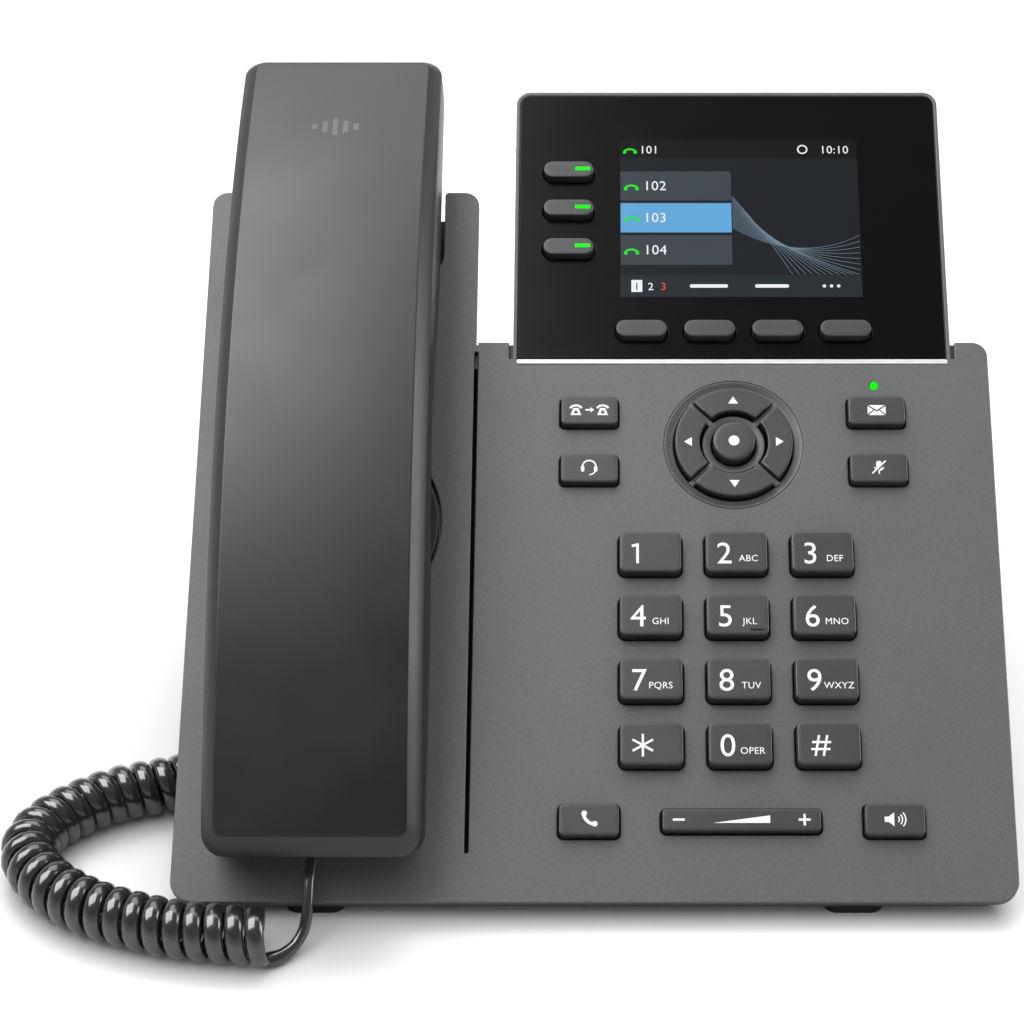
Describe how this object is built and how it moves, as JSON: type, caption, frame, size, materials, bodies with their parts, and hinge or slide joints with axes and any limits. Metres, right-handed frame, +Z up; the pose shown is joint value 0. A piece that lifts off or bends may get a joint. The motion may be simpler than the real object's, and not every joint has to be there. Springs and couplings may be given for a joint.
{
  "type": "desk ip phone",
  "caption": "Desk network phone on a sloped stand: flat plate with dial, line, soft and arrow keys, a colour screen head, and a corded handset on a side cradle.",
  "frame": {"origin": "centre of the phone's footprint, without its cord, on the table plane under its feet", "axes": "+X to the user's right, +Y away from the user, +Z up from the table"},
  "size_m": [0.2227, 0.1908, 0.1339],
  "materials": {
    "cover_plastic": "fine moulded texture, satin",
    "case_plastic": "fine moulded texture",
    "foot_rubber": "matt",
    "lens_gloss": "polished",
    "lcd": "lit colour screen",
    "accent": "satin silver",
    "board": "solder mask",
    "mat_rubber": "matt silicone",
    "black_plastic": "fine moulded texture",
    "steel": "plain",
    "bright_metal": "plated",
    "lamp_green": "clear light pipe",
    "handset_plastic": "fine moulded texture, satin",
    "plug_plastic": "moulded",
    "cord_vinyl": "glossy extruded vinyl",
    "key_plastic": "fine moulded texture, satin"
  },
  "bodies": {
    "base": {"top_cover": "cover_plastic", "bottom_shell": "case_plastic", "desk_stand": "case_plastic", "rubber_feet": "foot_rubber", "display_lens": "lens_gloss", "lcd_panel": "lcd", "accent_strip": "accent", "main_board": "board", "key_mat": "mat_rubber", "speaker_grille": "black_plastic", "loudspeaker": "steel", "handset_port": "black_plastic", "network_ports": "bright_metal", "headset_port": "black_plastic", "power_port": "black_plastic", "case_screws": "bright_metal", "message_lamp": "lamp_green", "cord_coil": "cord_vinyl", "cord_lead": "cord_vinyl", "cord_tail": "cord_vinyl", "base_plug": "plug_plastic"},
    "handset": {"handset_cover": "handset_plastic", "handset_back": "handset_plastic", "handset_weight": "steel", "handset_screws": "bright_metal", "handset_plug": "plug_plastic", "ear_speaker": "steel", "mic_capsule": "bright_metal"},
    "hook": {"hook_plunger": "case_plastic"},
    "key_1_body": {"key_1": "key_plastic"},
    "key_2_body": {"key_2": "key_plastic"},
    "key_3_body": {"key_3": "key_plastic"},
    "key_4_body": {"key_4": "key_plastic"},
    "key_5_body": {"key_5": "key_plastic"},
    "key_6_body": {"key_6": "key_plastic"},
    "key_7_body": {"key_7": "key_plastic"},
    "key_8_body": {"key_8": "key_plastic"},
    "key_9_body": {"key_9": "key_plastic"},
    "key_star_body": {"key_star": "key_plastic"},
    "key_0_body": {"key_0": "key_plastic"},
    "key_hash_body": {"key_hash": "key_plastic"},
    "line_key_1_body": {"line_key_1": "key_plastic"},
    "line_key_2_body": {"line_key_2": "key_plastic"},
    "line_key_3_body": {"line_key_3": "key_plastic"},
    "soft_key_1_body": {"soft_key_1": "key_plastic"},
    "soft_key_2_body": {"soft_key_2": "key_plastic"},
    "soft_key_3_body": {"soft_key_3": "key_plastic"},
    "soft_key_4_body": {"soft_key_4": "key_plastic"},
    "arrow_up_body": {"arrow_up": "key_plastic"},
    "arrow_down_body": {"arrow_down": "key_plastic"},
    "arrow_left_body": {"arrow_left": "key_plastic"},
    "arrow_right_body": {"arrow_right": "key_plastic"},
    "ok_key_body": {"ok_key": "key_plastic"},
    "transfer_key_body": {"transfer_key": "key_plastic"},
    "headset_key_body": {"headset_key": "key_plastic"},
    "message_key_body": {"message_key": "key_plastic"},
    "mute_key_body": {"mute_key": "key_plastic"},
    "send_key_body": {"send_key": "key_plastic"},
    "speaker_key_body": {"speaker_key": "key_plastic"},
    "volume_key_body": {"volume_key": "key_plastic"}
  },
  "joints": [
    {"name": "handset_lift", "type": "slide", "parent": "base", "child": "handset", "axis": [0, -0.5592, 0.829], "range_m": [0, 0.085]},
    {"name": "hook_travel", "type": "slide", "parent": "base", "child": "hook", "axis": [0, -0.5592, 0.829], "range_m": [0, 0.0035]},
    {"name": "key_1_press", "type": "slide", "parent": "base", "child": "key_1_body", "axis": [0, 0.5592, -0.829], "range_m": [0, 0.0012], "stiffness_N_per_m": 500, "springref_m": -0.0006},
    {"name": "key_2_press", "type": "slide", "parent": "base", "child": "key_2_body", "axis": [0, 0.5592, -0.829], "range_m": [0, 0.0012], "stiffness_N_per_m": 500, "springref_m": -0.0006},
    {"name": "key_3_press", "type": "slide", "parent": "base", "child": "key_3_body", "axis": [0, 0.5592, -0.829], "range_m": [0, 0.0012], "stiffness_N_per_m": 500, "springref_m": -0.0006},
    {"name": "key_4_press", "type": "slide", "parent": "base", "child": "key_4_body", "axis": [0, 0.5592, -0.829], "range_m": [0, 0.0012], "stiffness_N_per_m": 500, "springref_m": -0.0006},
    {"name": "key_5_press", "type": "slide", "parent": "base", "child": "key_5_body", "axis": [0, 0.5592, -0.829], "range_m": [0, 0.0012], "stiffness_N_per_m": 500, "springref_m": -0.0006},
    {"name": "key_6_press", "type": "slide", "parent": "base", "child": "key_6_body", "axis": [0, 0.5592, -0.829], "range_m": [0, 0.0012], "stiffness_N_per_m": 500, "springref_m": -0.0006},
    {"name": "key_7_press", "type": "slide", "parent": "base", "child": "key_7_body", "axis": [0, 0.5592, -0.829], "range_m": [0, 0.0012], "stiffness_N_per_m": 500, "springref_m": -0.0006},
    {"name": "key_8_press", "type": "slide", "parent": "base", "child": "key_8_body", "axis": [0, 0.5592, -0.829], "range_m": [0, 0.0012], "stiffness_N_per_m": 500, "springref_m": -0.0006},
    {"name": "key_9_press", "type": "slide", "parent": "base", "child": "key_9_body", "axis": [0, 0.5592, -0.829], "range_m": [0, 0.0012], "stiffness_N_per_m": 500, "springref_m": -0.0006},
    {"name": "key_star_press", "type": "slide", "parent": "base", "child": "key_star_body", "axis": [0, 0.5592, -0.829], "range_m": [0, 0.0012], "stiffness_N_per_m": 500, "springref_m": -0.0006},
    {"name": "key_0_press", "type": "slide", "parent": "base", "child": "key_0_body", "axis": [0, 0.5592, -0.829], "range_m": [0, 0.0012], "stiffness_N_per_m": 500, "springref_m": -0.0006},
    {"name": "key_hash_press", "type": "slide", "parent": "base", "child": "key_hash_body", "axis": [0, 0.5592, -0.829], "range_m": [0, 0.0012], "stiffness_N_per_m": 500, "springref_m": -0.0006},
    {"name": "line_key_1_press", "type": "slide", "parent": "base", "child": "line_key_1_body", "axis": [0, 0.5592, -0.829], "range_m": [0, 0.0012], "stiffness_N_per_m": 500, "springref_m": -0.0006},
    {"name": "line_key_2_press", "type": "slide", "parent": "base", "child": "line_key_2_body", "axis": [0, 0.5592, -0.829], "range_m": [0, 0.0012], "stiffness_N_per_m": 500, "springref_m": -0.0006},
    {"name": "line_key_3_press", "type": "slide", "parent": "base", "child": "line_key_3_body", "axis": [0, 0.5592, -0.829], "range_m": [0, 0.0012], "stiffness_N_per_m": 500, "springref_m": -0.0006},
    {"name": "soft_key_1_press", "type": "slide", "parent": "base", "child": "soft_key_1_body", "axis": [0, 0.5592, -0.829], "range_m": [0, 0.0012], "stiffness_N_per_m": 500, "springref_m": -0.0006},
    {"name": "soft_key_2_press", "type": "slide", "parent": "base", "child": "soft_key_2_body", "axis": [0, 0.5592, -0.829], "range_m": [0, 0.0012], "stiffness_N_per_m": 500, "springref_m": -0.0006},
    {"name": "soft_key_3_press", "type": "slide", "parent": "base", "child": "soft_key_3_body", "axis": [0, 0.5592, -0.829], "range_m": [0, 0.0012], "stiffness_N_per_m": 500, "springref_m": -0.0006},
    {"name": "soft_key_4_press", "type": "slide", "parent": "base", "child": "soft_key_4_body", "axis": [0, 0.5592, -0.829], "range_m": [0, 0.0012], "stiffness_N_per_m": 500, "springref_m": -0.0006},
    {"name": "arrow_up_press", "type": "slide", "parent": "base", "child": "arrow_up_body", "axis": [0, 0.5592, -0.829], "range_m": [0, 0.0012], "stiffness_N_per_m": 500, "springref_m": -0.0006},
    {"name": "arrow_down_press", "type": "slide", "parent": "base", "child": "arrow_down_body", "axis": [0, 0.5592, -0.829], "range_m": [0, 0.0012], "stiffness_N_per_m": 500, "springref_m": -0.0006},
    {"name": "arrow_left_press", "type": "slide", "parent": "base", "child": "arrow_left_body", "axis": [0, 0.5592, -0.829], "range_m": [0, 0.0012], "stiffness_N_per_m": 500, "springref_m": -0.0006},
    {"name": "arrow_right_press", "type": "slide", "parent": "base", "child": "arrow_right_body", "axis": [0, 0.5592, -0.829], "range_m": [0, 0.0012], "stiffness_N_per_m": 500, "springref_m": -0.0006},
    {"name": "ok_key_press", "type": "slide", "parent": "base", "child": "ok_key_body", "axis": [0, 0.5592, -0.829], "range_m": [0, 0.0012], "stiffness_N_per_m": 500, "springref_m": -0.0006},
    {"name": "transfer_key_press", "type": "slide", "parent": "base", "child": "transfer_key_body", "axis": [0, 0.5592, -0.829], "range_m": [0, 0.0012], "stiffness_N_per_m": 500, "springref_m": -0.0006},
    {"name": "headset_key_press", "type": "slide", "parent": "base", "child": "headset_key_body", "axis": [0, 0.5592, -0.829], "range_m": [0, 0.0012], "stiffness_N_per_m": 500, "springref_m": -0.0006},
    {"name": "message_key_press", "type": "slide", "parent": "base", "child": "message_key_body", "axis": [0, 0.5592, -0.829], "range_m": [0, 0.0012], "stiffness_N_per_m": 500, "springref_m": -0.0006},
    {"name": "mute_key_press", "type": "slide", "parent": "base", "child": "mute_key_body", "axis": [0, 0.5592, -0.829], "range_m": [0, 0.0012], "stiffness_N_per_m": 500, "springref_m": -0.0006},
    {"name": "send_key_press", "type": "slide", "parent": "base", "child": "send_key_body", "axis": [0, 0.5592, -0.829], "range_m": [0, 0.0012], "stiffness_N_per_m": 500, "springref_m": -0.0006},
    {"name": "speaker_key_press", "type": "slide", "parent": "base", "child": "speaker_key_body", "axis": [0, 0.5592, -0.829], "range_m": [0, 0.0012], "stiffness_N_per_m": 500, "springref_m": -0.0006},
    {"name": "volume_key_rock", "type": "hinge", "parent": "base", "child": "volume_key_body", "pos_m": [0.032, -0.0701, 0.01324], "axis": [0, 0.829, 0.5592], "range_deg": [-2, 2], "stiffness_Nm_per_rad": 0.06}
  ],
  "couplings": [
    {"joint": "hook_travel", "follows": "handset_lift", "ratio": 0.04}
  ]
}
